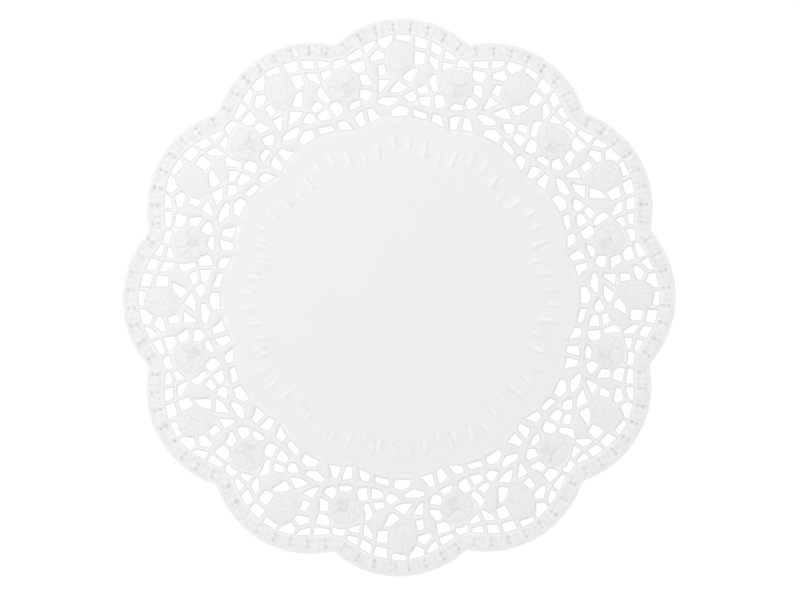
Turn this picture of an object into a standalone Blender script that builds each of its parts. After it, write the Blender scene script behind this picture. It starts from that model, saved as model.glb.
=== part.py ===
"""A round paper doily: one flat sheet with scallops, a ring of lace and a plain centre.

Metres, +Z up. The doily lies flat, its middle over the origin and its underside at z = 0.
One repeat of the lace is charted below and goes round the middle once for each scallop.
"""

import math
from collections import namedtuple

import bpy
from mathutils import Vector

# Driving dimensions.
DIAMETER = 0.360  # over two opposite scallops
THICKNESS = 0.001  # of the sheet with its embossing, as one flat solid
REPEATS = 12  # scallops, each with one repeat of the lace

# The chart is drawn for a doily 360 units across, so at full size one unit is 1 mm.
CHART_DIAMETER = 360.0
UNIT = DIAMETER / CHART_DIAMETER
REPEAT_DEGREES = 360.0 / REPEATS

# The outer edge, in chart units: a round arc for each scallop, and softened valleys.
SCALLOP_RADIUS = 64.4
SCALLOP_CENTRE = CHART_DIAMETER / 2 - SCALLOP_RADIUS
VALLEY_SOFTNESS = 0.9
STEPS_PER_SCALLOP = 24

PAPER_WHITE = (0.86, 0.86, 0.85, 1.0)
PAPER_ROUGHNESS = 0.85

# Knots of the lace, where its bars meet: degrees clockwise from the middle of the scallop, the
# radius in chart units, and half the width of the paper that is left there.
Knot = namedtuple("Knot", "name degrees radius half")
KNOTS = (
    Knot("edge1", -13.7, 159.6, 1.45),
    Knot("edge2", -9.5, 164.3, 1.25),
    Knot("edge3", -5.8, 167.9, 1.05),
    Knot("edge4", -1.7, 170.7, 1.3),
    Knot("edge5", 2.4, 170.2, 1.45),
    Knot("edge6", 6.3, 167.8, 1.35),
    Knot("edge7", 9.75, 163.9, 1.4),
    Knot("edge8", 13.35, 159.3, 1.3),
    Knot("net1", -13.0, 154.8, 1.2),
    Knot("net2", -8.7, 156.5, 1.35),
    Knot("net3", -5.9, 162.1, 1.55),
    Knot("net4", 2.4, 160.7, 1.65),
    Knot("net5", 6.1, 159.3, 1.55),
    Knot("net6", 9.4, 155.4, 1.55),
    Knot("net7", 12.8, 155.3, 1.4),
    Knot("net8", -8.3, 156.3, 1.5),
    Knot("bud1", -1.8, 165.0, 1.4),
    Knot("bud2", -3.5, 158.3, 1.7),
    Knot("bud3", -3.8, 153.0, 1.95),
    Knot("bud6", 2.6, 149.1, 1.4),
    Knot("bud7", 0.0, 144.5, 1.0),
    Knot("foot1", -2.3, 141.2, 1.45),
    Knot("foot2", -1.15, 141.7, 1.5),
    Knot("foot3", -0.4, 140.8, 1.6),
    Knot("left1", -7.7, 151.4, 1.5),
    Knot("left2", -8.8, 147.3, 1.25),
    Knot("left3", -7.2, 139.8, 1.3),
    Knot("left4", -6.5, 142.4, 1.3),
    Knot("stem1", -7.5, 136.1, 2.0),
    Knot("stem2", -7.75, 130.2, 2.25),
    Knot("stem3", -5.3, 131.4, 2.0),
    Knot("right1", 5.9, 149.6, 1.5),
    Knot("right2", 5.0, 148.6, 1.15),
    Knot("right3", 6.2, 153.3, 1.2),
    Knot("right4", 6.9, 143.8, 1.5),
    Knot("right5", 3.2, 139.1, 1.2),
    Knot("right6", 6.7, 139.9, 1.5),
    Knot("cross1", 9.7, 146.3, 1.5),
    Knot("cross2", 8.3, 146.5, 1.2),
    Knot("rose1", -11.4, 146.3, 1.3),
    Knot("rose2", -11.4, 138.8, 1.35),
    Knot("rose3", -12.6, 132.0, 1.1),
    Knot("rose5", 12.4, 134.4, 1.3),
    Knot("rose6", 10.6, 137.3, 1.7),
    Knot("rose8", 13.1, 151.2, 1.3),
    Knot("rose9", 15.2, 153.1, 1.3),
    Knot("rose10", 16.3, 151.8, 1.35),
    Knot("rose11", 9.7, 141.5, 1.5),
    Knot("rose12", -12.7, 149.6, 1.3),
    Knot("rose13", -11.9, 138.2, 1.2),
    Knot("link1", 10.4, 134.2, 1.2),
    Knot("link2", 8.6, 132.6, 1.35),
    Knot("link3", 4.6, 130.6, 1.2),
    Knot("link4", 3.2, 135.5, 1.6),
    Knot("link5", 2.1, 136.9, 1.7),
    Knot("stalk1", 13.9, 129.8, 2.4),
    Knot("stalk2", 13.0, 124.0, 2.1),
    Knot("vine1", -14.0, 123.5, 2.1),
    Knot("vine2", -11.3, 125.1, 1.7),
    Knot("vine3", -10.5, 126.7, 1.7),
    Knot("vine4", -0.6, 130.8, 1.9),
    Knot("vine5", 2.6, 124.2, 1.9),
    Knot("vine6", 5.2, 123.0, 2.3),
    Knot("vine7", 9.5, 122.3, 1.75),
    Knot("vine8", 10.8, 122.4, 2.2),
    Knot("vine9", 8.7, 121.5, 2.3),
    Knot("knob1", -0.1, 127.2, 2.2),
    Knot("knob2", -0.8, 125.6, 1.6),
    Knot("knob3", 4.5, 126.7, 1.3),
    Knot("low1", -8.0, 125.7, 1.5),
    Knot("low2", -3.95, 122.0, 1.6),
    Knot("low3", -8.4, 124.8, 1.6),
    Knot("low4", -6.2, 118.5, 1.7),
    Knot("rim1", -11.1, 113.4, 1.7),
    Knot("rim2", -5.8, 115.7, 1.4),
    Knot("rim3", -3.9, 116.0, 1.5),
    Knot("rim4", 2.8, 115.8, 2.1),
    Knot("rim5", 8.9, 114.4, 1.7),
    Knot("rim6", 15.8, 110.5, 1.7),
    Knot("spur1", 12.7, 120.8, 1.5),
    Knot("spur2", 14.5, 120.1, 1.2),
)
NAMED_KNOTS = {knot.name: knot for knot in KNOTS}

# The cut-out eyes of one repeat, each as the knots round it, clockwise. A knot with + belongs to
# the next repeat, and one with - to the repeat before. The six smallest eyes of each repeat are
# left closed here.
EYES = (
    "edge1 edge2 net2 net1",
    "edge2 edge3 net3 net2",
    "edge3 edge4 bud1 bud2 net3",
    "edge5 edge6 net5 net4",
    "edge6 edge7 net6 net5",
    "edge8 edge1+ net1+ rose10 rose9 rose8 net7",
    "net1 net2 left2 rose1 rose12",
    "net8 net3 bud2 bud3 left1",
    "net4 net5 right1 bud6",
    "net5 net6 cross1 cross2 right3",
    "rose1 left2 left3 stem1 rose2",
    "bud7 bud6 right2 right5 link5 foot3",
    "cross2 cross1 rose11 rose6 link1 link2 right6 right4",
    "left4 foot1 stem3 stem2",
    "foot2 link4 vine4 stem3",
    "rose13 stem1 stem2 vine3 rose3",
    "stem2 stem3 vine4 knob2 low2 low1",
    "vine4 link4 link3 knob3 vine5 knob1",
    "link3 link2 vine7 vine6 knob3",
    "link2 link1 rose5 stalk1 stalk2 vine8 vine7",
    "vine1 vine2 rim1 rim6- spur2-",
    "vine2 low3 low4 rim2 rim1",
    "low2 knob2 vine5 rim4 rim3",
    "vine5 vine6 vine9 rim5 rim4",
    "vine9 vine8 spur1 rim6 rim5",
)


def polar(degrees, radius):
    """The point on the sheet at an angle clockwise from +Y and a radius in chart units."""
    turn = math.radians(degrees)
    return Vector((math.sin(turn), math.cos(turn))) * radius * UNIT


def arc_reach(degrees):
    """How far out a scallop's arc reaches, at an angle from its own middle."""
    turn = math.radians(degrees)
    aside = SCALLOP_CENTRE * math.sin(turn)
    return SCALLOP_CENTRE * math.cos(turn) + math.sqrt(SCALLOP_RADIUS**2 - aside**2)


def outer_edge():
    """The scalloped outline: at each angle the further of two arcs, soft where they meet."""
    points = []
    step = REPEAT_DEGREES / STEPS_PER_SCALLOP
    for repeat in range(REPEATS):
        for count in range(STEPS_PER_SCALLOP):
            aside = count * step - REPEAT_DEGREES / 2
            own = arc_reach(aside)
            next_one = arc_reach(REPEAT_DEGREES - abs(aside))
            radius = (own + next_one + math.hypot(own - next_one, VALLEY_SOFTNESS)) / 2
            points.append(polar(repeat * REPEAT_DEGREES + aside, radius))
    return points


def place_knot(label, repeat):
    """A knot's point and half width, by its name in the chart and the repeat it is called from."""
    knot = NAMED_KNOTS[label.rstrip("+-")]
    repeat += label.count("+") - label.count("-")
    return polar(knot.degrees + repeat * REPEAT_DEGREES, knot.radius), knot.half * UNIT


def eye_outline(eye, repeat):
    """An eye's corners: its knots, each moved into the eye by half the width of the bars there."""
    knots = [place_knot(label, repeat) for label in eye.split()]
    corners = []
    for count, (point, half) in enumerate(knots):
        arriving = (point - knots[count - 1][0]).normalized()
        leaving = (knots[(count + 1) % len(knots)][0] - point).normalized()
        inward = Vector((arriving.y, -arriving.x)) + Vector((leaving.y, -leaving.x))
        corners.append(point + inward * half / (1 + arriving.dot(leaving)))
    return corners


def add_loop(curve, points):
    """Add one closed outline to a flat curve."""
    spline = curve.splines.new("POLY")
    spline.points.add(len(points) - 1)
    for control, point in zip(spline.points, points):
        control.co = (point.x, point.y, 0.0, 1.0)
    spline.use_cyclic_u = True


def paper():
    """Matt white paper."""
    material = bpy.data.materials.new("paper")
    material.use_nodes = True
    shader = material.node_tree.nodes["Principled BSDF"]
    shader.inputs["Base Color"].default_value = PAPER_WHITE
    shader.inputs["Roughness"].default_value = PAPER_ROUGHNESS
    shader.inputs["Metallic"].default_value = 0.0
    return material


def doily():
    """The whole sheet: a filled outline with its eyes cut out, as thick as the sheet."""
    curve = bpy.data.curves.new("doily", "CURVE")
    curve.dimensions = "2D"
    curve.fill_mode = "BOTH"
    curve.extrude = THICKNESS / 2
    add_loop(curve, outer_edge())
    for repeat in range(REPEATS):
        for eye in EYES:
            add_loop(curve, eye_outline(eye, repeat))
    curve.materials.append(paper())
    sheet = bpy.data.objects.new("doily", curve)
    sheet.location.z = THICKNESS / 2
    return sheet


def build():
    """Clear the scene and put the doily in it."""
    for leftover in list(bpy.data.objects):
        bpy.data.objects.remove(leftover)
    collection = bpy.data.collections.new("paper_doily")
    bpy.context.scene.collection.children.link(collection)
    collection.objects.link(doily())


build()
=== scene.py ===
"""The look of a round paper doily: one sheet of thin stamped paper, lying flat on a white table.

The lace is charted for a doily 360 units across, so at full size one unit of the chart is 1 mm.
"""

import math
from collections import namedtuple

import bpy
from mathutils import Matrix, Vector, geometry, kdtree, noise


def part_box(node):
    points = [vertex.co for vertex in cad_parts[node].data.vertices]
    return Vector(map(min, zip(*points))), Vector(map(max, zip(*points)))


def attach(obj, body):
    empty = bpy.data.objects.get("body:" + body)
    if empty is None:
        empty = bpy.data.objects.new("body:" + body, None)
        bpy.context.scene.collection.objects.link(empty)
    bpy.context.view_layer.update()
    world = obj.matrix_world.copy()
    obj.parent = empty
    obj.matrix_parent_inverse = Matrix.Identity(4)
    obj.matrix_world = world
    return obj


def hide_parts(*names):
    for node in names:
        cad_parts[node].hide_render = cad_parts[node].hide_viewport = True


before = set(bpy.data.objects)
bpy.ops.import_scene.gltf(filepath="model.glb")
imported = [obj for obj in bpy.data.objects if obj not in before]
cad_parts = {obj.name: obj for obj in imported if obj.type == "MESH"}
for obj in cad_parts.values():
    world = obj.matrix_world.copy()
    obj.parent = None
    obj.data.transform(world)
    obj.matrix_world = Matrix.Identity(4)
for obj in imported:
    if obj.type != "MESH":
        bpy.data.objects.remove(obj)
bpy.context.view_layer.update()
lowest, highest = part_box("doily")

# Driving dimensions, in metres.
DIAMETER = highest.x - lowest.x
EMBOSSED_HEIGHT = highest.z - lowest.z
PAPER_THICKNESS = 0.2 * EMBOSSED_HEIGHT

CHART_DIAMETER = 360.0
UNIT = DIAMETER / CHART_DIAMETER
REPEATS = 12
REPEAT_DEGREES = 360.0 / REPEATS

# The scalloped outline, in chart units: a round arc for each scallop, and softened valleys. The
# edge of the plain centre is made of arcs of the same kind.
SCALLOP_RADIUS = 64.4
SCALLOP_CENTRE = CHART_DIAMETER / 2 - SCALLOP_RADIUS
VALLEY_SOFTNESS = 0.9
CENTRE_ARCS = (66.1, 51.1)  # how far out their centres lie, and their radius

# Heights of the stamping, in chart units.
RISE = 0.38 * EMBOSSED_HEIGHT / UNIT  # of a bar over the table
SHOULDER = 0.6  # how far in from an edge a bar rises by two thirds
CENTRE_DROP = 0.7  # how much lower than the bars the middle of the sheet lies, as a share of them
CENTRE_SLOPE = (0.45, 0.97)  # where it rises again, as shares of the plain centre's radius
GROOVE_WIDTH = 0.5
GROOVE_SHARE = 0.3  # how deep the groove round a motif is, as a share of its lift
FOLD_WIDTH = 0.85
DOME_POWER = 0.7  # below 1 a motif's top is flatter and its sides are steeper
COCKLE = 0.2  # how far the paper lifts unevenly off the table
COCKLE_LENGTH = 55.0
UNEVEN_LENGTH = 6.0  # over which the stamping grows weaker and stronger
UNEVEN_SHARE = 0.9
LEAST_STRENGTH = 0.2

# Painted shade in dark lines where the stamping presses the paper, and painted highlight in light
# ones along its ridges. Each lies at a place from an edge or a line, has a width, both in chart
# units, and is from 0 to 1 strong.
Band = namedtuple("Band", "place width strength")
EDGE_SHADE = Band(0.4, 0.45, 0.21)  # from a cut edge
EDGE_HIGHLIGHT = Band(1.3, 0.5, 1.0)
LACE_START = (2.0, 4.0)  # in from the outer edge, where those two come in
CREASE_HIGHLIGHT = Band(1.0, 0.45, 2.8)  # from a crease, for each unit of its depth
CREASE_SHADE = 0.85  # for each unit of a crease's depth
FOLD_HIGHLIGHT = 5.5  # for each unit of a fold's height
RIM_HIGHLIGHT = 0.9  # of the outer rim
RIM_SLOPE = (0.3, 1.8)  # in from the outer edge, where that light goes out
CENTRE_MOTTLE = Band(-2.5, 2.5, 0.25)  # from the edge of the plain centre
MOTIF_COVER = (-0.4, 0.9)  # in from a motif's outline, where it hides what lies under it

# Fine veins on the petals, spread like a fan.
PETAL_VEINS = 4.0
PETAL_FAN = (1.2, 0.4)  # how far apart they are in the middle, and how much more towards the tip
PETAL_VEIN_DEPTH = 0.3
PETAL_VEIN_START = (0.0, 2.0)  # in from a motif's outline

# The mesh: rows of points along the lines of the stamping, and even grids between two radii. Each
# has a step, a gap that it keeps from other points and a margin that it keeps from a cut edge.
EDGE_STEP = 1.4
LIP = 0.5  # from an edge to the row of points beside it
LIP_GAP = 0.45
LIP_MARGIN = 0.425
BESIDE = 0.75  # from a line of the stamping to the rows of points beside it
Row = namedtuple("Row", "step gap margin")
CREASE_ROW = Row(1.0, 0.7, 0.8)
OUTLINE_ROW = Row(1.0, 0.7, 0.85)
BESIDE_ROW = Row(1.1, 0.7, 0.85)
BAR_ROW = Row(1.15, 0.8, 0.95)
RIM_ROW = Row(1.15, 0.7, 0.7)
DIVIDER_ROW = Row(0.75, 0.55, 0.7)
RIM_ROW_INSETS = (1.2, 2.2)  # in from the outer edge
DIVIDER_ROW_INSET = 2.4
Grid = namedtuple("Grid", "step gap margin low high")
TONGUE_GRID = Grid(1.5, 0.85, 0.0, 82, 107)
LACE_GRID = Grid(1.5, 1.08, 0.95, 105, 181)
RIM_GRID = Grid(2.6, 1.95, 1.2, 82, 118)
PLAIN_GRID = Grid(5.0, 4.0, 1.2, 1, 82)

# Knots of the lace, where its bars meet: degrees clockwise from the middle of the scallop, the
# radius in chart units, and half the width of the paper that is left there.
KNOTS = {
    "edge1": (-13.7, 159.6, 1.45),
    "edge2": (-9.5, 164.3, 1.25),
    "edge3": (-5.8, 167.9, 1.05),
    "edge4": (-1.7, 170.7, 1.3),
    "edge5": (2.4, 170.2, 1.45),
    "edge6": (6.3, 167.8, 1.35),
    "edge7": (9.75, 163.9, 1.4),
    "edge8": (13.35, 159.3, 1.3),
    "net1": (-13.0, 154.8, 1.2),
    "net2": (-8.7, 156.5, 1.35),
    "net3": (-5.9, 162.1, 1.55),
    "net4": (2.4, 160.7, 1.65),
    "net5": (6.1, 159.3, 1.55),
    "net6": (9.4, 155.4, 1.55),
    "net7": (12.8, 155.3, 1.4),
    "net8": (-8.3, 156.3, 1.5),
    "bud1": (-1.8, 165.0, 1.4),
    "bud2": (-3.5, 158.3, 1.7),
    "bud3": (-3.8, 153.0, 1.95),
    "bud4": (-3.4, 143.0, 1.5),
    "bud5": (2.0, 163.2, 1.5),
    "bud6": (2.6, 149.1, 1.4),
    "bud7": (0.0, 144.5, 1.0),
    "foot1": (-2.3, 141.2, 1.45),
    "foot2": (-1.15, 141.7, 1.5),
    "foot3": (-0.4, 140.8, 1.6),
    "left1": (-7.7, 151.4, 1.5),
    "left2": (-8.8, 147.3, 1.25),
    "left3": (-7.2, 139.8, 1.3),
    "left4": (-6.5, 142.4, 1.3),
    "left5": (-6.4, 151.5, 1.4),
    "stem1": (-7.5, 136.1, 2.0),
    "stem2": (-7.75, 130.2, 2.25),
    "stem3": (-5.3, 131.4, 2.0),
    "right1": (5.9, 149.6, 1.5),
    "right2": (5.0, 148.6, 1.15),
    "right3": (6.2, 153.3, 1.2),
    "right4": (6.9, 143.8, 1.5),
    "right5": (3.2, 139.1, 1.2),
    "right6": (6.7, 139.9, 1.5),
    "cross1": (9.7, 146.3, 1.5),
    "cross2": (8.3, 146.5, 1.2),
    "rose1": (-11.4, 146.3, 1.3),
    "rose2": (-11.4, 138.8, 1.35),
    "rose3": (-12.6, 132.0, 1.1),
    "rose4": (15.1, 131.3, 1.2),
    "rose5": (12.4, 134.4, 1.3),
    "rose6": (10.6, 137.3, 1.7),
    "rose7": (11.4, 148.6, 1.55),
    "rose8": (13.1, 151.2, 1.3),
    "rose9": (15.2, 153.1, 1.3),
    "rose10": (16.3, 151.8, 1.35),
    "rose11": (9.7, 141.5, 1.5),
    "rose12": (-12.7, 149.6, 1.3),
    "rose13": (-11.9, 138.2, 1.2),
    "link1": (10.4, 134.2, 1.2),
    "link2": (8.6, 132.6, 1.35),
    "link3": (4.6, 130.6, 1.2),
    "link4": (3.2, 135.5, 1.6),
    "link5": (2.1, 136.9, 1.7),
    "stalk1": (13.9, 129.8, 2.4),
    "stalk2": (13.0, 124.0, 2.1),
    "vine1": (-14.0, 123.5, 2.1),
    "vine2": (-11.3, 125.1, 1.7),
    "vine3": (-10.5, 126.7, 1.7),
    "vine4": (-0.6, 130.8, 1.9),
    "vine5": (2.6, 124.2, 1.9),
    "vine6": (5.2, 123.0, 2.3),
    "vine7": (9.5, 122.3, 1.75),
    "vine8": (10.8, 122.4, 2.2),
    "vine9": (8.7, 121.5, 2.3),
    "knob1": (-0.1, 127.2, 2.2),
    "knob2": (-0.8, 125.6, 1.6),
    "knob3": (4.5, 126.7, 1.3),
    "low1": (-8.0, 125.7, 1.5),
    "low2": (-3.95, 122.0, 1.6),
    "low3": (-8.4, 124.8, 1.6),
    "low4": (-6.2, 118.5, 1.7),
    "rim1": (-11.1, 113.4, 1.7),
    "rim2": (-5.8, 115.7, 1.4),
    "rim3": (-3.9, 116.0, 1.5),
    "rim4": (2.8, 115.8, 2.1),
    "rim5": (8.9, 114.4, 1.7),
    "rim6": (15.8, 110.5, 1.7),
    "spur1": (12.7, 120.8, 1.5),
    "spur2": (14.5, 120.1, 1.2),
}

# The eyes of one repeat, each as the knots round it, clockwise. A knot with + belongs to the next
# repeat, and one with - to the repeat before.
EYES = """
edge1 edge2 net2 net1
edge2 edge3 net3 net2
edge3 edge4 bud1 bud2 net3
edge4 edge5 bud5 bud1
edge5 edge6 net5 net4
edge6 edge7 net6 net5
edge7 edge8 net7 net6
edge8 edge1+ net1+ rose10 rose9 rose8 net7
net1 net2 left2 rose1 rose12
net8 net3 bud2 bud3 left1
net4 net5 right1 bud6
net5 net6 cross1 cross2 right3
net6 net7 rose8 rose7 cross1
rose1 left2 left3 stem1 rose2
left5 bud3 bud4 left4
bud7 bud6 right2 right5 link5 foot3
cross2 cross1 rose11 rose6 link1 link2 right6 right4
left4 foot1 stem3 stem2
foot2 link4 vine4 stem3
rose13 stem1 stem2 vine3 rose3
link4 right6 link2 link3
stalk1 rose4 rose3+ vine3+ vine1+ stalk2
stem2 stem3 vine4 knob2 low2 low1
vine4 link4 link3 knob3 vine5 knob1
link3 link2 vine7 vine6 knob3
link2 link1 rose5 stalk1 stalk2 vine8 vine7
vine1 vine2 rim1 rim6- spur2-
vine2 low3 low4 rim2 rim1
low2 knob2 vine5 rim4 rim3
vine5 vine6 vine9 rim5 rim4
vine9 vine8 spur1 rim6 rim5
""".strip().splitlines()
EYE_CORNER = 0.5  # how far from a corner an eye's rounding starts
CORNER_SHARE = 0.4  # the most of a side that it takes up
PUSHED_SMOOTHING = 0.4  # how much the side of an eye that follows a motif is evened out

# The raised motifs of one repeat. Each lies between a foot and a tip, given in degrees and radius.
# skew makes it wider towards its tip, blunt and full round its ends and its sides, lift is how far
# its middle stands above the bars, and give is how far the side of an eye gives way to it. Its
# grain is plain, petal with veins and a lobed tip, or tongue, which rises without a groove round
# it. A motif lies over the ones after it.
MOTIF_COLUMNS = "name foot tip width skew blunt full lift give grain lobes lobe_depth"
Motif = namedtuple("Motif", MOTIF_COLUMNS, defaults=("plain", 0, 0))
MOTIFS = (
    Motif("rose", (14.9, 127.6), (14.9, 150), 21.8, 0, 2.5, 2.2, 0.36, 0.6, "petal", 6, 0.03),
    Motif("bud", (-1.4, 142.6), (-0.3, 166), 17.6, 0.06, 2.8, 2.3, 0.34, 0.6, "petal", 18, 0.04),
    Motif("left_leaf", (-7.1, 138), (-8.1, 154.3), 7.4, 0.1, 2.2, 1.5, 0.22, 0.6),
    Motif("right_leaf", (3.3, 137.2), (6.8, 151.8), 9, 0, 2.2, 1.5, 0.24, 0.6),
    Motif("low_leaf", (-8.35, 125.9), (-4.5, 116.5), 6.8, 0, 2.4, 1.6, 0.2, 0.6),
    Motif("spur_leaf", (13.4, 121.8), (15.2, 110.3), 4.6, 0, 2.2, 1.6, 0.22, 0.6),
    Motif("small_leaf", (-1.2, 130.8), (1.6, 124.6), 4.6, 0, 2, 1.6, 0.2, 0.4),
    Motif("sepal_1", (13.3, 135.5), (12.1, 130.4), 4.4, -0.2, 2.2, 2, 0.16, 2.6),
    Motif("sepal_2", (15.6, 134), (16.7, 129.6), 4.6, -0.3, 2.2, 2, 0.16, 1.6),
    Motif("tongue_1", (-14.9, 85), (-14.9, 97.2), 4.8, 0.3, 3, 2, 0.3, 0, "tongue"),
    Motif("tongue_2", (-9.1, 89), (-9.1, 101.8), 4.8, 0.3, 3, 2, 0.34, 0, "tongue"),
    Motif("tongue_3", (-2.8, 91.5), (-2.8, 104.1), 4.8, 0.3, 3, 2, 0.3, 0, "tongue"),
    Motif("tongue_4", (2.8, 91.5), (2.8, 104.3), 4.6, 0.3, 3, 2, 0.26, 0, "tongue"),
    Motif("tongue_5", (8.9, 89), (8.9, 102), 5, 0.3, 3, 2, 0.32, 0, "tongue"),
)

# Creases pressed into a motif, and folds raised from it, whose depth is below 0: curves through
# three points, each given across and along as shares of its half width and half length.
Crease = namedtuple("Crease", "motif start middle end depth")
CREASES = (
    Crease("left_leaf", (0, -0.95), (0.08, 0), (0, 0.8), 0.05),
    Crease("right_leaf", (0, -0.95), (0.08, 0), (0, 0.8), 0.05),
    Crease("low_leaf", (0, -0.9), (0.06, 0), (0, 0.75), 0.05),
    Crease("bud", (-0.63, -0.42), (0.02, -0.68), (0.82, -0.38), 0.12),
    Crease("bud", (-0.34, 0.95), (-0.62, 0.25), (-0.67, -0.32), 0.13),
    Crease("bud", (-0.04, 0.8), (-0.09, 0.5), (0.03, 0.23), 0.13),
    Crease("bud", (0.76, 0.64), (0.66, 0.05), (0.4, -0.34), 0.16),
    Crease("bud", (0.44, 0.18), (0.14, -0.02), (-0.15, -0.2), 0.13),
    Crease("bud", (0.2, 0.32), (-0.02, 0.22), (-0.22, 0.06), 0.1),
    Crease("bud", (0.36, 0.98), (0.46, 0.73), (0.52, 0.48), 0.13),
    Crease("bud", (-0.36, 0.62), (-0.38, 0.3), (-0.34, -0.05), 0.09),
    Crease("rose", (-0.87, -0.09), (-0.52, -0.54), (0.12, -0.62), 0.15),
    Crease("rose", (0.12, -0.62), (0.56, -0.24), (0.58, 0.45), 0.16),
    Crease("rose", (-0.15, 0.28), (0.17, 0.25), (0.55, 0.52), 0.3),
    Crease("rose", (-0.87, 0.38), (-0.48, 0.2), (-0.23, -0.02), 0.18),
    Crease("rose", (-0.43, 0.72), (-0.33, 0.42), (-0.13, 0.28), 0.22),
    Crease("rose", (-0.13, -0.02), (0.1, -0.04), (0.38, 0.19), 0.23),
    Crease("rose", (-0.12, -0.24), (0.2, -0.2), (0.46, 0.08), 0.24),
    Crease("rose", (-0.18, -0.44), (0.2, -0.38), (0.46, -0.1), 0.23),
    Crease("rose", (0.66, 0.64), (0.75, 0.13), (0.72, -0.3), 0.14),
    Crease("rose", (-0.6, 0.1), (-0.5, -0.18), (-0.28, -0.4), 0.14),
    Crease("tongue_1", (0.62, 0.7), (0.72, 0.15), (0.45, -0.5), 0.13),
    Crease("tongue_2", (0.64, 0.62), (0.66, -0.1), (0.26, -0.85), 0.18),
    Crease("tongue_3", (0.48, 0.92), (0.76, 0.4), (0.62, -0.25), 0.14),
    Crease("tongue_4", (0.7, 0.45), (0.62, -0.15), (0.28, -0.7), 0.12),
    Crease("tongue_5", (0.44, 0.9), (0.74, 0.2), (0.55, -0.6), 0.17),
    Crease("tongue_1", (-0.16, 0.6), (-0.3, 0.15), (-0.28, -0.4), -0.13),
    Crease("tongue_2", (-0.12, 0.55), (-0.34, 0), (-0.36, -0.65), -0.17),
    Crease("tongue_3", (-0.28, 0.8), (-0.34, 0.4), (-0.22, 0), -0.15),
    Crease("tongue_4", (-0.2, 0.8), (-0.38, 0.3), (-0.3, -0.25), -0.13),
    Crease("tongue_5", (-0.26, 0.55), (-0.4, 0.1), (-0.38, -0.5), -0.17),
)

# The border: cells between dividers that point to the scallop's own centre, with two deep pits in
# each divider, fine streaks across the cells, and a hem of painted shade along both sides. Painted
# shade also darkens the dividers and pits, and painted highlight lightens the paper beside the
# dividers.
DIVIDERS = 8
DIVIDER_PITCH = 11.2  # degrees round the scallop's centre
DIVIDER_SHIFT = -0.35
DIVIDER_DEPTH = 0.12
DIVIDER_WIDTH = 0.4
DIVIDER_SHADE = 0.3
DIVIDER_HIGHLIGHT = Band(1.3, 0.6, 0.8)  # from the middle of a divider
DIVIDER_START = (2.5, 4.0)  # in from the outer edge
Pit = namedtuple("Pit", "inset width height")  # from the outer edge, along the edge, across it
PITS = (Pit(4.0, 0.95, 0.6), Pit(7.8, 0.65, 0.8))
PIT_DEPTH = 0.28
PIT_SHADE = 0.7
BORDER_WIDTH = 11.4
BORDER_FADE = 2.0
HEM = Band(2.2, 0.35, 0.05)  # from the outer edge
INNER_HEM = Band(9.4, 0.8, 0.08)
CELL_START = (1.5, 3.5)  # in from the outer edge
CELL_MIDDLE = (2.0, 4.5)  # from the middle of a divider
CELL_PLAINNESS = 0.5  # how much smoother the middle of a cell is than its sides
CELL_STREAKS = 3  # between one divider and the next
STREAK_DEPTH = 1.2
STREAK_FADE = 0.4  # beyond the last dividers, as a share of a cell
MOTTLE_START = (0.6, 2.6)  # in from the outer edge

# The papers' greys, and the texture of the paper itself: sizes in metres, and depths and tones as
# shares.
DARK_PAPER = (0.76, 0.76, 0.76, 1)
LIGHT_PAPER = (0.95, 0.95, 0.95, 1)
# Painted shade and painted highlight, which the stamping mixes into the paper's own greys.
PAINTED_SHADE_GREY = (0.48, 0.48, 0.48, 1)
PAINTED_HIGHLIGHT_WHITE = (0.925, 0.925, 0.925, 1)
TABLE_WHITE = (0.96, 0.96, 0.96, 1)
FIBRE_SIZE = 1.2 * UNIT
CLOUD_SIZE = 30.0 * UNIT
WOBBLE_SIZE = 8.0 * UNIT
BLOT_SIZE = 3.6 * UNIT
BUMP_HEIGHT = 0.1 * EMBOSSED_HEIGHT
FIBRE_DEPTH = 0.12
CUT_FIBRE_DEPTH = 0.8
CLOUD_TONE = 0.06
VEIN_WOBBLE = 3.0
VEIN_HEIGHT = 0.6
VEIN_PAINTED_SHADE = 0.12
MOTTLE_TONE = 1.5
PAPER_ROUGHNESS = 0.85
TABLE_ROUGHNESS = 0.9

# The camera, which looks down and leans a little to the left, and the lights.
CAMERA_DISTANCE = 8.53 * DIAMETER
CAMERA_LEAN = math.radians(8.8)
CAMERA_LEAN_AXIS = Vector((-0.373, -0.928, 0))
CAMERA_AIM = Vector((-0.0016, -0.0035, 0)) * DIAMETER
VIEW_WIDTH = 1.4295 * DIAMETER
LIGHTS = (  # name, place, size, power
    ("key_light", (-0.95, 0.95, 1.15), 0.6, 8.5),
    ("top_light", (0.0, 0.0, 3.0), 3.0, 45.0),
)
SKY_STRENGTH = 0.45
TABLE_GLOW = 0.16
TABLE_REACH = 8 * DIAMETER


def polar(degrees, radius):
    """The point on the chart at an angle clockwise from +Y."""
    turn = math.radians(degrees)
    return Vector((math.sin(turn), math.cos(turn))) * radius


def degrees_of(point):
    return math.degrees(math.atan2(point.x, point.y))


def turned(point, repeats):
    """The point moved clockwise by a number of repeats."""
    turn = math.radians(repeats * REPEAT_DEGREES)
    across = point.x * math.cos(turn) + point.y * math.sin(turn)
    along = point.y * math.cos(turn) - point.x * math.sin(turn)
    return Vector((across, along))


def arc_reach(degrees, centre, radius):
    """How far out an arc of that radius reaches, at an angle from its own middle."""
    turn = math.radians(degrees)
    return centre * math.cos(turn) + math.sqrt(radius**2 - (centre * math.sin(turn)) ** 2)


def scallop_reach(degrees, centre=SCALLOP_CENTRE, radius=SCALLOP_RADIUS):
    """The scalloped line's radius at an angle: the further of two arcs, soft where they meet."""
    aside = (degrees + REPEAT_DEGREES / 2) % REPEAT_DEGREES - REPEAT_DEGREES / 2
    own = arc_reach(aside, centre, radius)
    next_one = arc_reach(REPEAT_DEGREES - abs(aside), centre, radius)
    return (own + next_one + math.hypot(own - next_one, VALLEY_SOFTNESS)) / 2


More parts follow.
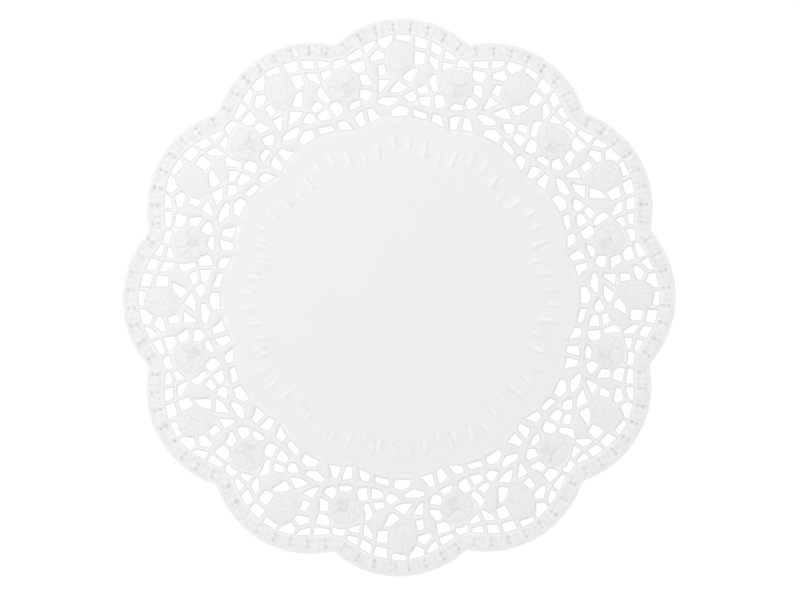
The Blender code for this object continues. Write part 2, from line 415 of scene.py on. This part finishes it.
def respaced(points, step, closed=True):
    """The same line with its points evenly spaced, about step apart."""
    ends = points + points[:1] if closed else points
    gaps = [(b - a).length for a, b in zip(ends, ends[1:])]
    count = max(3 if closed else 1, round(sum(gaps) / step))
    spacing = sum(gaps) / count
    found = []
    walked = 0.0
    for start, end, gap in zip(ends, ends[1:], gaps):
        while len(found) * spacing < walked + gap - 1e-9 and len(found) < count:
            found.append(start.lerp(end, (len(found) * spacing - walked) / gap))
        walked += gap
    return found if closed else found + [ends[-1]]


def curve_through(start, middle, end, steps=12):
    """Points of a smooth curve that starts, passes through its middle and ends at these."""
    handle = middle * 2 - (start + end) / 2
    found = []
    for count in range(steps + 1):
        share = count / steps
        found.append(start.lerp(handle, share).lerp(handle.lerp(end, share), share))
    return found


def smooth_step(low, high, value):
    share = min(1.0, max(0.0, (value - low) / (high - low)))
    return share * share * (3 - 2 * share)


def bump_shape(distance, width):
    return math.exp(-((distance / width) ** 2))


def band_at(band, distance):
    return band.strength * bump_shape(distance - band.place, band.width)


def loop_area(loop):
    pairs = zip(loop, loop[1:] + loop[:1])
    return abs(sum(a.x * b.y - b.x * a.y for a, b in pairs)) / 2


class Shape:
    """A motif laid out on the sheet: its middle, its axes and how far its outline reaches."""

    DIRECTIONS = 120

    def __init__(self, motif, repeat):
        foot = turned(polar(*motif.foot), repeat)
        tip = turned(polar(*motif.tip), repeat)
        self.motif = motif
        self.middle = (foot + tip) / 2
        self.length = (tip - foot).length
        self.axis = (tip - foot).normalized()
        self.side = Vector((self.axis.y, -self.axis.x))
        count = self.DIRECTIONS
        self.reaches = [self.find_reach(math.tau * n / count) for n in range(count)]

    def find_reach(self, turn):
        """How far the outline lies from the middle, at a turn from the axis towards the side."""
        motif = self.motif
        inner, outer = 0.0, max(self.length, motif.width)
        while outer - inner > 0.001:
            reach = (inner + outer) / 2
            along = reach * math.cos(turn) * 2 / self.length
            wide = max(0.1, 1 + motif.skew * along) * motif.width / 2
            across = reach * math.sin(turn) / wide
            if abs(along) ** motif.blunt + abs(across) ** motif.full < 1:
                inner = reach
            else:
                outer = reach
        tipward = max(0.0, math.cos(turn)) ** 4 if motif.grain == "petal" else 0.0
        return reach * (1 + motif.lobe_depth * tipward * math.cos(motif.lobes * turn))

    def reach(self, turn):
        place = turn / math.tau * self.DIRECTIONS
        before = math.floor(place)
        low = self.reaches[before % self.DIRECTIONS]
        high = self.reaches[(before + 1) % self.DIRECTIONS]
        return low + (high - low) * (place - before)

    def polar_place(self, point):
        """The point's turn from the axis, its distance from the middle, and the reach there."""
        offset = point - self.middle
        turn = math.atan2(offset.dot(self.side), offset.dot(self.axis))
        return turn, offset.length, self.reach(turn)

    def gap(self, point):
        """How far the point lies inside the outline, measured along the ray from the middle."""
        turn, distance, reach = self.polar_place(point)
        return reach - distance

    def share(self, point):
        turn, distance, reach = self.polar_place(point)
        return distance / reach

    def push_out(self, point):
        """The point, moved out towards the outline by at most the motif's give."""
        turn, distance, reach = self.polar_place(point)
        if distance >= reach:
            return point
        return self.at_turn(turn, min(reach, distance + self.motif.give))

    def at_turn(self, turn, distance):
        return self.middle + (self.axis * math.cos(turn) + self.side * math.sin(turn)) * distance

    def outline(self, outside):
        turns = [math.tau * n / self.DIRECTIONS for n in range(self.DIRECTIONS)]
        return [self.at_turn(turn, self.reach(turn) + outside) for turn in turns]

    def place(self, across, along):
        """The point given as shares of the half width and half length."""
        wide = across * self.motif.width / 2
        return self.middle + self.side * wide + self.axis * (along * self.length / 2)

    def shares_across_along(self, point):
        offset = point - self.middle
        across = offset.dot(self.side) * 2 / self.motif.width
        along = offset.dot(self.axis) * 2 / self.length
        return across, along

    def crease_lines(self):
        """The motif's creases as lines of points, each with its depth."""
        lines = []
        for crease in CREASES:
            if crease.motif == self.motif.name:
                ends = [self.place(*share) for share in (crease.start, crease.middle, crease.end)]
                lines.append((curve_through(*ends), crease.depth))
        return lines


def rounded(corners, reach, step):
    """A closed outline with each corner rounded off, and points about a step apart between."""
    curves = []
    for count, corner in enumerate(corners):
        before = corners[count - 1] - corner
        after = corners[(count + 1) % len(corners)] - corner
        start = corner + before.normalized() * min(reach, before.length * CORNER_SHARE)
        end = corner + after.normalized() * min(reach, after.length * CORNER_SHARE)
        curves.append((start, (start + end + corner * 2) / 4, end))
    found = []
    for count, curve in enumerate(curves):
        found += curve
        side = curves[(count + 1) % len(curves)][0] - curve[-1]
        parts = max(1, round(side.length / step))
        found += [curve[-1] + side * n / parts for n in range(1, parts)]
    return found


def place_knot(label, repeat=0):
    """A knot's point and half width, by its name in the chart and the repeat it is called from."""
    degrees, radius, half = KNOTS[label.rstrip("+-")]
    repeat += label.count("+") - label.count("-")
    return polar(degrees + repeat * REPEAT_DEGREES, radius), half


def eye_outline(eye, shapes):
    """An eye of the first repeat: its knots moved in by the bars' half widths, its corners
    rounded, and its sides following the motifs that they meet."""
    knots = [place_knot(label) for label in eye.split()]
    corners = []
    for count, (point, half) in enumerate(knots):
        arriving = (point - knots[count - 1][0]).normalized()
        leaving = (knots[(count + 1) % len(knots)][0] - point).normalized()
        inward = Vector((arriving.y, -arriving.x)) + Vector((leaving.y, -leaving.x))
        corners.append(point + inward * half / (1 + arriving.dot(leaving)))
    line = rounded(corners, EYE_CORNER, EDGE_STEP)
    pushed = line
    for shape in shapes:
        pushed = [shape.push_out(point) for point in pushed]
    smoothed = []
    for count, point in enumerate(pushed):
        moved = point != line[count]
        beside = (pushed[count - 1] + pushed[(count + 1) % len(pushed)]) / 2
        smoothed.append(point.lerp(beside, PUSHED_SMOOTHING) if moved else point)
    return smoothed


def rim_line(inset, steps):
    """One repeat's stretch of the outer edge, clockwise, moved in by the inset."""
    turns = [REPEAT_DEGREES * (n / steps - 0.5) for n in range(steps + 1)]
    return [polar(turn, scallop_reach(turn) - inset) for turn in turns]


def search_tree(places):
    """A tree that finds which of these places is nearest to a point."""
    tree = kdtree.KDTree(len(places))
    for number, place in enumerate(places):
        tree.insert(place.to_3d(), number)
    tree.balance()
    return tree


class Edges:
    """The cut edges near the first repeat, and how far inside the paper a point lies."""

    STEP = 0.2

    def __init__(self, loops):
        """loops are closed or open lines that have the paper on their left."""
        spots = []
        for line, closed in loops:
            ends = line + line[:1] if closed else line
            for start, end in zip(ends, ends[1:]):
                along = end - start
                left = Vector((-along.y, along.x)).normalized()
                count = max(1, math.ceil(along.length / self.STEP))
                for n in range(count):
                    spots.append((start + along * (n + 0.5) / count, left))
        self.lefts = [left for spot, left in spots]
        self.tree = search_tree([spot for spot, left in spots])

    def gap(self, point):
        """How far the point lies from the nearest cut edge: above 0 on the paper."""
        spot, number, distance = self.tree.find(point.to_3d())
        inside = (point - spot.to_2d()).dot(self.lefts[number]) > 0
        return distance if inside else -distance


def border_place(point):
    """Where a point lies in the border: how far round it is from the nearest divider and how far
    in from the outer edge, in chart units, and the count of dividers up to it from the middle."""
    degrees = degrees_of(point)
    aside = (degrees + REPEAT_DEGREES / 2) % REPEAT_DEGREES - REPEAT_DEGREES / 2
    offset = polar(aside, point.length) - Vector((0, SCALLOP_CENTRE))
    count = (degrees_of(offset) - DIVIDER_SHIFT) / DIVIDER_PITCH
    last = (DIVIDERS - 1) / 2
    nearest = min(last, max(-last, round(count - 0.5) + 0.5))
    from_divider = (count - nearest) * math.radians(DIVIDER_PITCH) * offset.length
    return from_divider, scallop_reach(degrees) - point.length, count


# What the stamping does at a point: its height over the table in chart units, how much painted
# shade darkens the paper in its hollows and along its edges, how much painted highlight lightens
# its ridges, the count of fine veins up to here, how deep they are, and how mottled the paper is.
# All but the height and the count go from 0 to about 1.
Stamping = namedtuple("Stamping", "height pressed raised vein vein_depth mottle")


def border_stamping(point, under):
    """What the border makes of the stamping under it: its cells, dividers, pits and hems, with
    painted shade in the dividers, pits and hems, and painted highlight beside the dividers.
    """
    from_divider, inset, count = border_place(point)
    on_border = 1 - smooth_step(BORDER_WIDTH - BORDER_FADE, BORDER_WIDTH, inset)
    on_cell = on_border * smooth_step(*CELL_START, inset)
    in_scallop = 1 - smooth_step(DIVIDERS / 2 - STREAK_FADE, DIVIDERS / 2, abs(count))
    crumpled = 1 - CELL_PLAINNESS * smooth_step(*CELL_MIDDLE, abs(from_divider))
    divider = bump_shape(from_divider, DIVIDER_WIDTH) * on_border
    divider *= smooth_step(*DIVIDER_START, inset)
    pit = max(
        bump_shape(math.hypot(from_divider / pit.width, (inset - pit.inset) / pit.height), 1)
        for pit in PITS
    )
    hem_shade = max(band_at(HEM, inset), band_at(INNER_HEM, inset))
    # Painted highlight beside each divider.
    ridge = band_at(DIVIDER_HIGHLIGHT, abs(from_divider)) * on_cell
    return Stamping(
        height=under.height - (DIVIDER_DEPTH * divider + PIT_DEPTH * pit),
        pressed=max(under.pressed, hem_shade, DIVIDER_SHADE * divider, PIT_SHADE * pit),
        raised=max(under.raised, ridge) * (1 - pit),
        vein=CELL_STREAKS * count,
        vein_depth=STREAK_DEPTH * on_cell * in_scallop * crumpled,
        mottle=max(under.mottle, on_border * smooth_step(*MOTTLE_START, inset) * crumpled),
    )


class Relief:
    """The stamping of the paper."""

    STEP = 0.3

    def __init__(self, shapes, edges):
        self.shapes = shapes
        self.edges = edges
        spots = []
        for shape in shapes:
            for line, depth in shape.crease_lines():
                spots += [(spot, depth) for spot in respaced(line, self.STEP, False)]
        self.depths = [depth for spot, depth in spots]
        self.tree = search_tree([spot for spot, depth in spots])

    def at(self, point):
        gap = max(0.0, self.edges.gap(point))
        degrees = degrees_of(point)
        from_rim = scallop_reach(degrees) - point.length
        centre_edge = scallop_reach(degrees, *CENTRE_ARCS)
        crease, crease_highlight = self.crease_at(point)
        lift, groove, on_motif, vein, vein_depth = self.motifs_at(point)

        bar = 1 - math.exp(-gap / SHOULDER)
        in_centre = 1 - smooth_step(*CENTRE_SLOPE, point.length / centre_edge)
        height = RISE * bar * (1 - CENTRE_DROP * in_centre) + (lift - groove - crease) * bar
        on_lace = smooth_step(*LACE_START, from_rim)
        # Painted shade along cut edges, in grooves and in creases, and painted highlight beside
        # cut edges, on the outer rim, beside creases and on folds.
        pressed = max(band_at(EDGE_SHADE, gap) * on_lace, groove, CREASE_SHADE * crease)
        rim = RIM_HIGHLIGHT * (1 - smooth_step(*RIM_SLOPE, from_rim))
        raised = max(band_at(EDGE_HIGHLIGHT, gap) * on_lace, rim) * (1 - on_motif)
        raised = max(raised, crease_highlight, -FOLD_HIGHLIGHT * crease)
        mottle = band_at(CENTRE_MOTTLE, point.length - centre_edge)
        here = Stamping(height, pressed, raised, vein, vein_depth, mottle)
        if from_rim < BORDER_WIDTH + BORDER_FADE:
            here = border_stamping(point, here)
        return here._replace(height=max(0.0, here.height))

    def crease_at(self, point):
        """How deep the nearest crease is here, below 0 on a fold, and the painted highlight of the
        ridge beside it.
        """
        spot, number, distance = self.tree.find(point.to_3d())
        depth = self.depths[number]
        width = GROOVE_WIDTH if depth > 0 else FOLD_WIDTH
        return depth * bump_shape(distance, width), depth * band_at(CREASE_HIGHLIGHT, distance)

    def motifs_at(self, point):
        """How far the motifs lift the paper here, the groove round them, how much of the point
        they cover (0 to 1), and the veins of the one on top: their count and their depth."""
        lift, groove, covered = 0.0, 0.0, 0.0
        vein, vein_depth = 0.0, 0.0
        for shape in self.shapes:
            motif = shape.motif
            if (shape.middle - point).length > shape.length * 0.8 + 1:  # too far off to matter
                continue
            inside = shape.gap(point)
            share = min(1.0, shape.share(point))
            lift = max(lift, motif.lift * (1 - share**2) ** DOME_POWER)
            if motif.grain == "tongue":
                continue
            here = motif.lift * bump_shape(inside, GROOVE_WIDTH) * (1 - covered)
            groove = max(groove, GROOVE_SHARE * here)
            if motif.grain == "petal" and inside > 0:
                across, along = shape.shares_across_along(point)
                vein = PETAL_VEINS * across / (PETAL_FAN[0] + PETAL_FAN[1] * along)
                vein_depth = PETAL_VEIN_DEPTH * smooth_step(*PETAL_VEIN_START, inside)
            covered = max(covered, smooth_step(*MOTIF_COVER, inside))
        return lift, groove, covered, vein, vein_depth


class Spread:
    """Points of one repeat, kept apart from each other and from the repeats beside it."""

    CELL = 2.0

    def __init__(self, edges):
        self.edges = edges
        self.cells = {}
        self.points = []

    def cell(self, point):
        return math.floor(point.x / self.CELL), math.floor(point.y / self.CELL)

    def is_clear(self, point, gap):
        column, row = self.cell(point)
        for x in (column - 1, column, column + 1):
            for y in (row - 1, row, row + 1):
                for other in self.cells.get((x, y), ()):
                    if (other - point).length < gap:
                        return False
        return True

    def block(self, point):
        for repeat in (-1, 0, 1):
            copy = turned(point, repeat)
            self.cells.setdefault(self.cell(copy), []).append(copy)

    def add(self, point, gap, margin):
        """Takes the point, moved into the first repeat, unless another lies within the gap or a
        cut edge within the margin."""
        repeat = round(degrees_of(point) / REPEAT_DEGREES)
        point = turned(point, -repeat)
        if self.edges.gap(point) > margin and self.is_clear(point, gap):
            self.points.append(point)
            self.block(point)

    def add_row(self, line, row, closed=False):
        for point in respaced(line, row.step, closed):
            self.add(point, row.gap, row.margin)

    def add_grid(self, grid, is_wanted=lambda point: True):
        """Adds the grid's points that is_wanted accepts."""
        for point in hexagon_grid(grid):
            if is_wanted(point):
                self.add(point, grid.gap, grid.margin)


def hexagon_grid(grid):
    """The grid's evenly spread points in the first repeat."""
    step, low, high = grid.step, grid.low, grid.high
    half = math.radians(REPEAT_DEGREES / 2)
    row_step = step * math.sqrt(3) / 2
    rows = range(int(low * math.cos(half) / row_step) - 1, int(high / row_step) + 2)
    wide = int(high * math.sin(half) / step) + 2
    for row in rows:
        for column in range(-wide, wide + 1):
            point = Vector(((column + row % 2 / 2) * step, row * row_step))
            in_repeat = abs(degrees_of(point)) <= REPEAT_DEGREES / 2
            if in_repeat and low <= point.length < high:
                yield point


def add_lips(spread, loops):
    """A row of points just inside every cut edge, so that its shoulder can be rounded."""
    lips = []
    for line, closed in loops:
        for count, point in enumerate(line):
            ends = [count - 1, (count + 1) % len(line)]
            before = line[ends[0]] if closed or count else turned(line[-1], 1)
            after = line[ends[1]] if closed or ends[1] else turned(line[0], -1)
            along = after - before
            lips.append(point + Vector((-along.y, along.x)).normalized() * LIP)
    for point in lips:
        spread.add(point, LIP_GAP, LIP_MARGIN)


def add_motif_points(spread, shape):
    """Points along a motif's outline and along its creases, and a little beside them."""
    lines = [line for line, depth in shape.crease_lines()]
    for line in lines:
        spread.add_row(line, CREASE_ROW)
    spread.add_row(shape.outline(0.0), OUTLINE_ROW, closed=True)
    spread.add_row(shape.outline(-BESIDE), BESIDE_ROW, closed=True)
    if shape.motif.grain == "tongue":
        spread.add_grid(TONGUE_GRID, lambda point: shape.share(point) < 1)
        return
    spread.add_row(shape.outline(BESIDE), BESIDE_ROW, closed=True)
    for line in lines:
        for shift in (-BESIDE, BESIDE):
            spread.add_row([point + shape.side * shift for point in line], BESIDE_ROW)


def add_bar_points(spread):
    """A row of points along the ridge of every bar."""
    bars = set()
    for eye in EYES:
        labels = eye.split()
        for label, after in zip(labels, labels[1:] + labels[:1]):
            bars.add((label, after) if label < after else (after, label))
    for label, after in sorted(bars):
        spread.add_row([place_knot(label)[0], place_knot(after)[0]], BAR_ROW)


def add_border_points(spread):
    """Points along the rim, and along the dividers of the border."""
    for inset in RIM_ROW_INSETS:
        spread.add_row(rim_line(inset, 100), RIM_ROW)
    centre = Vector((0, SCALLOP_CENTRE))
    ends = (SCALLOP_RADIUS - BORDER_WIDTH, SCALLOP_RADIUS - DIVIDER_ROW_INSET)
    for count in range(DIVIDERS):
        turn = (count - (DIVIDERS - 1) / 2) * DIVIDER_PITCH + DIVIDER_SHIFT
        for shift in (0.0, -BESIDE, BESIDE):
            side = math.degrees(shift / SCALLOP_RADIUS)
            spread.add_row([centre + polar(turn + side, reach) for reach in ends], DIVIDER_ROW)


def is_in_lace(point):
    return point.length > scallop_reach(degrees_of(point), *CENTRE_ARCS) - 1


def spread_points(loops, shapes, edges):
    """The points of one repeat that lie inside the paper, closest where the stamping is fine."""
    spread = Spread(edges)
    for line, closed in loops:
        for point in line:
            spread.block(point)
    add_lips(spread, loops)
    for shape in shapes:
        if abs(degrees_of(shape.middle)) <= REPEAT_DEGREES / 2 + 2:
            add_motif_points(spread, shape)
    add_bar_points(spread)
    add_border_points(spread)
    spread.add_grid(LACE_GRID, is_in_lace)
    spread.add_grid(RIM_GRID)
    spread.add_grid(PLAIN_GRID)
    return spread.points


def cockle(point):
    """How far the paper lifts off the table at a point of the chart."""
    return COCKLE * (0.5 + 0.5 * noise.noise((point / COCKLE_LENGTH).to_3d()))


def unevenness(point):
    """How strong the stamping is at a point of the chart, about 1."""
    place = (point / UNEVEN_LENGTH).to_3d()
    return max(LEAST_STRENGTH, 1 + UNEVEN_SHARE * noise.noise(place))


def is_outside(face, points, ring_of):
    """Whether a triangle of the filled outline lies in an eye or beyond the outer edge. Such a
    triangle has all its corners on one ring, in that ring's own order."""
    ring = ring_of.get(face[0])
    if ring is None or any(ring_of.get(n) != ring for n in face):
        return False
    low, middle, high = (points[n] for n in sorted(face))
    turn = (middle - low).cross(high - low)
    return turn > 0 if ring == 0 else turn < 0


def laid_out(scallop, eyes, inner):
    """The order of the sheet's points, each as its number in one repeat and its repeat: first the
    scallops, as one ring clockwise, then the eyes, a ring each, and then the inner points."""
    order = [(n, repeat) for repeat in range(REPEATS) for n in range(len(scallop))]
    rings = [list(range(len(order)))]
    for repeat in range(REPEATS):
        start = len(scallop)
        for eye in eyes:
            rings.append(list(range(len(order), len(order) + len(eye))))
            order += [(start + n, repeat) for n in range(len(eye))]
            start += len(eye)
    for repeat in range(REPEATS):
        order += [(start + n, repeat) for n in range(len(inner))]
    return order, rings


def filled_faces(points, rings, cuts):
    """The triangles of the paper between the outer edge and the eyes."""
    filled = geometry.delaunay_2d_cdt(points, cuts, [], 0, 1e-5)
    if len(filled[0]) != len(points):
        raise ValueError(f"{len(points)} points became {len(filled[0])}")
    ring_of = {n: number for number, ring in enumerate(rings) for n in ring}
    return [tuple(face) for face in filled[2] if not is_outside(face, points, ring_of)]


def add_object(name, data):
    thing = bpy.data.objects.new(name, data)
    bpy.context.scene.collection.objects.link(thing)
    return thing


def sheet_mesh(points, rings, heights):
    """A closed mesh of the sheet: its underside, its upper side, and walls at the cuts."""
    cuts = [pair for ring in rings for pair in zip(ring, ring[1:] + ring[:1])]
    faces = filled_faces(points, rings, cuts)
    count = len(points)
    under = [(point.x * UNIT, point.y * UNIT, z) for point, z in zip(points, heights)]
    top = [(x, y, z + PAPER_THICKNESS) for x, y, z in under]
    upper_faces = [tuple(n + count for n in face) for face in faces]
    lower_faces = [tuple(reversed(face)) for face in faces]
    walls = [(a, b, b + count, a + count) for a, b in cuts]
    mesh = bpy.data.meshes.new("doily_paper")
    mesh.from_pydata(under + top, [], upper_faces + lower_faces + walls)
    mesh.update()
    flat_faces = len(upper_faces) + len(lower_faces)
    for number, polygon in enumerate(mesh.polygons):
        polygon.use_smooth = True
        polygon.material_index = 0 if number < flat_faces else 1
    rims = {(min(cut) + level, max(cut) + level) for cut in cuts for level in (0, count)}
    sharp = mesh.attributes.new("sharp_edge", "BOOLEAN", "EDGE")
    sharp.data.foreach_set("value", [tuple(sorted(edge.vertices)) in rims for edge in mesh.edges])
    return mesh


def add_attribute(mesh, name, values):
    """A value for each point of the sheet, the same on its underside and its upper side."""
    attribute = mesh.attributes.new(name, "FLOAT", "POINT")
    attribute.data.foreach_set("value", list(values) * 2)


def paper_sheet():
    """The whole doily as one closed sheet of thin paper, with its net area in square metres."""
    shapes = [Shape(motif, repeat) for repeat in (-1, 0, 1) for motif in MOTIFS]
    scallop = respaced(rim_line(0, 240), EDGE_STEP, closed=False)[:-1]
    eyes = [eye_outline(eye, shapes) for eye in EYES]
    outer = [turned(point, repeat) for repeat in (1, 0, -1) for point in reversed(scallop)]
    near_eyes = [[turned(p, repeat) for p in eye] for repeat in (-1, 0, 1) for eye in eyes]
    edges = Edges([(outer, False)] + [(eye, True) for eye in near_eyes])
    own_loops = [(list(reversed(scallop)), False)] + [(eye, True) for eye in eyes]
    inner = spread_points(own_loops, shapes, edges)
    base = scallop + [point for eye in eyes for point in eye] + inner
    order, rings = laid_out(scallop, eyes, inner)
    points = [turned(base[n], repeat) for n, repeat in order]

    relief = Relief(shapes, edges)
    base_stamping = [relief.at(point) for point in base]
    stamping = [base_stamping[n] for n, repeat in order]
    strengths = [unevenness(point) for point in points]
    heights = [(s.height + cockle(point)) * UNIT for s, point in zip(stamping, points)]
    mesh = sheet_mesh(points, rings, heights)
    for name in ("pressed", "raised"):
        add_attribute(mesh, name, [getattr(s, name) * k for s, k in zip(stamping, strengths)])
    for name in ("vein", "vein_depth", "mottle"):
        add_attribute(mesh, name, [getattr(s, name) for s in stamping])
    mesh.materials.append(stamped_paper())
    mesh.materials.append(cut_paper_edge())
    sheet = add_object("paper_sheet", mesh)
    gone = sum(loop_area([points[n] for n in ring]) for ring in rings[1:])
    return sheet, (loop_area([points[n] for n in rings[0]]) - gone) * UNIT**2


def set_inputs(node, values):
    for label, value in values.items():
        node.inputs[label].default_value = value


def new_group(name, inputs, outputs):
    """An empty node group of float sockets, the inputs with defaults, and its two end nodes."""
    group = bpy.data.node_groups.new(name, "ShaderNodeTree")
    for label, default in inputs.items():
        socket = group.interface.new_socket(label, in_out="INPUT", socket_type="NodeSocketFloat")
        socket.default_value = default
    for label in outputs:
        group.interface.new_socket(label, in_out="OUTPUT", socket_type="NodeSocketFloat")
    return group, group.nodes.new("NodeGroupInput"), group.nodes.new("NodeGroupOutput")


def add_math(tree, operation, first, second):
    """A math node; each operand is a socket or a number."""
    node = tree.nodes.new("ShaderNodeMath")
    node.operation = operation
    for socket, operand in zip(node.inputs, (first, second)):
        if isinstance(operand, bpy.types.NodeSocket):
            tree.links.new(operand, socket)
        else:
            socket.default_value = operand
    return node.outputs[0]


def add_noise(tree, size, detail=1.0):
    """Soft noise about 0, with blots of roughly that size in metres."""
    place = tree.nodes.new("ShaderNodeTexCoord")
    node = tree.nodes.new("ShaderNodeTexNoise")
    set_inputs(node, {"Scale": 1 / size, "Detail": detail})
    tree.links.new(place.outputs["Object"], node.inputs["Vector"])
    return add_math(tree, "SUBTRACT", node.outputs[0], 0.5)


def add_attribute_node(tree, name):
    node = tree.nodes.new("ShaderNodeAttribute")
    node.attribute_name = name
    return node.outputs["Fac"]


def add_mix(tree, first, second, share):
    """A colour between two others; each is a socket or a colour."""
    node = tree.nodes.new("ShaderNodeMix")
    node.data_type = "RGBA"
    for label, colour in (("A", first), ("B", second)):
        socket = next(s for s in node.inputs if s.name == label and s.type == "RGBA")
        if isinstance(colour, bpy.types.NodeSocket):
            tree.links.new(colour, socket)
        else:
            socket.default_value = colour
    factor = next(s for s in node.inputs if s.name == "Factor" and s.type == "VALUE")
    tree.links.new(share, factor)
    return next(s for s in node.outputs if s.type == "RGBA")


def paper_fibre_group():
    """The felt of the paper itself: a faint grain, and clouds where it is thinner."""
    inputs = {"Grain Depth": 0.1}
    group, given, result = new_group("paper_fibre", inputs, ("Height", "Cloud"))
    grain = add_noise(group, FIBRE_SIZE, detail=3.0)
    height = add_math(group, "MULTIPLY", grain, given.outputs["Grain Depth"])
    group.links.new(height, result.inputs["Height"])
    group.links.new(add_noise(group, CLOUD_SIZE), result.inputs["Cloud"])
    return group


def stamping_group():
    """Fine veins and mottling stamped into the paper: a height about 0, and a tone about 0.5, with
    painted shade that is lighter on the crests of the veins and darker in their troughs.
    """
    inputs = {"Vein": 0.0, "Vein Depth": 0.0, "Mottle": 0.0, "Mottle Tone": 1.0}
    group, given, result = new_group("fine_stamping", inputs, ("Height", "Tone"))
    wobble = add_math(group, "MULTIPLY", add_noise(group, WOBBLE_SIZE), VEIN_WOBBLE)
    turns = add_math(group, "MULTIPLY", given.outputs["Vein"], math.tau)
    wave = add_math(group, "SINE", add_math(group, "ADD", turns, wobble), 0.0)
    vein = add_math(group, "MULTIPLY", wave, given.outputs["Vein Depth"])
    blots = add_math(group, "MULTIPLY", add_noise(group, BLOT_SIZE), given.outputs["Mottle"])
    height = add_math(group, "ADD", add_math(group, "MULTIPLY", vein, VEIN_HEIGHT), blots)
    group.links.new(height, result.inputs["Height"])
    # Painted shade of the veins: lighter on their crests, darker in their troughs.
    vein_shade = add_math(group, "MULTIPLY", vein, VEIN_PAINTED_SHADE)
    blot_tone = add_math(group, "MULTIPLY", blots, given.outputs["Mottle Tone"])
    tone = add_math(group, "ADD", add_math(group, "ADD", vein_shade, blot_tone), 0.5)
    group.links.new(tone, result.inputs["Tone"])
    return group


def use_group(tree, group):
    node = tree.nodes.new("ShaderNodeGroup")
    node.node_tree = group
    return node


def new_paper(name):
    material = bpy.data.materials.new(name)
    material.use_nodes = True
    tree = material.node_tree
    shader = tree.nodes["Principled BSDF"]
    set_inputs(shader, {"Roughness": PAPER_ROUGHNESS})
    bump = tree.nodes.new("ShaderNodeBump")
    set_inputs(bump, {"Distance": BUMP_HEIGHT})
    tree.links.new(bump.outputs["Normal"], shader.inputs["Normal"])
    return material, tree, shader, bump


def stamped_paper():
    """White paper, with painted shade where the stamping presses it and painted highlight along
    its ridges.
    """
    material, tree, shader, bump = new_paper("stamped_paper")
    fibre = use_group(tree, FIBRE_GROUP)
    fine = use_group(tree, STAMPING_GROUP)
    set_inputs(fibre, {"Grain Depth": FIBRE_DEPTH})
    set_inputs(fine, {"Mottle Tone": MOTTLE_TONE})
    for label, name in (("Vein", "vein"), ("Vein Depth", "vein_depth"), ("Mottle", "mottle")):
        tree.links.new(add_attribute_node(tree, name), fine.inputs[label])
    clouds = add_math(tree, "MULTIPLY", fibre.outputs["Cloud"], CLOUD_TONE)
    tone = add_math(tree, "ADD", fine.outputs["Tone"], clouds)
    paper = add_mix(tree, DARK_PAPER, LIGHT_PAPER, tone)
    highlighted = add_mix(tree, paper, PAINTED_HIGHLIGHT_WHITE, add_attribute_node(tree, "raised"))
    colour = add_mix(tree, highlighted, PAINTED_SHADE_GREY, add_attribute_node(tree, "pressed"))
    tree.links.new(colour, shader.inputs["Base Color"])
    height = add_math(tree, "ADD", fine.outputs["Height"], fibre.outputs["Height"])
    tree.links.new(height, bump.inputs["Height"])
    return material


def cut_paper_edge():
    """The rougher edge that the cutting die leaves, a little lighter where fibres stand out."""
    material, tree, shader, bump = new_paper("cut_paper_edge")
    fibre = use_group(tree, FIBRE_GROUP)
    set_inputs(fibre, {"Grain Depth": CUT_FIBRE_DEPTH})
    tone = add_math(tree, "ADD", fibre.outputs["Height"], 0.5)
    tree.links.new(add_mix(tree, DARK_PAPER, LIGHT_PAPER, tone), shader.inputs["Base Color"])
    tree.links.new(fibre.outputs["Height"], bump.inputs["Height"])
    return material


def table_top():
    """A smooth white table, bright enough to read as plain white."""
    mesh = bpy.data.meshes.new("table_top")
    far = TABLE_REACH
    corners = [(-far, -far, 0), (far, -far, 0), (far, far, 0), (-far, far, 0)]
    mesh.from_pydata(corners, [], [(0, 1, 2, 3)])
    top = add_object("table_top", mesh)
    material = bpy.data.materials.new("white_table")
    material.use_nodes = True
    shader = material.node_tree.nodes["Principled BSDF"]
    set_inputs(shader, {"Base Color": TABLE_WHITE, "Roughness": TABLE_ROUGHNESS})
    set_inputs(shader, {"Emission Color": (1, 1, 1, 1), "Emission Strength": TABLE_GLOW})
    mesh.materials.append(material)
    return top


def add_area_light(name, place, size, power):
    """An area light, aimed at the middle of the table."""
    data = bpy.data.lights.new(name, "AREA")
    data.size = size
    data.energy = power
    lamp = add_object(name, data)
    lamp.location = place
    lamp.rotation_euler = (-Vector(place)).to_track_quat("-Z", "Y").to_euler()


def add_camera():
    data = bpy.data.cameras.new("camera")
    data.lens = data.sensor_width * CAMERA_DISTANCE / VIEW_WIDTH
    camera = add_object("camera", data)
    lean = Matrix.Rotation(CAMERA_LEAN, 4, CAMERA_LEAN_AXIS)
    back = Matrix.Translation((0, 0, CAMERA_DISTANCE))
    camera.matrix_world = Matrix.Translation(CAMERA_AIM) @ lean @ back
    bpy.context.scene.camera = camera


def soft_daylight():
    world = bpy.data.worlds.new("studio")
    world.use_nodes = True
    sky = world.node_tree.nodes["Background"]
    set_inputs(sky, {"Color": (1, 1, 1, 1), "Strength": SKY_STRENGTH})
    bpy.context.scene.world = world
    for light in LIGHTS:
        add_area_light(*light)


FIBRE_GROUP = paper_fibre_group()
STAMPING_GROUP = stamping_group()

sheet, area = paper_sheet()
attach(sheet, "root")
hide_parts("doily")
table = table_top()
add_camera()
soft_daylight()
bpy.context.scene.view_settings.view_transform = "Standard"
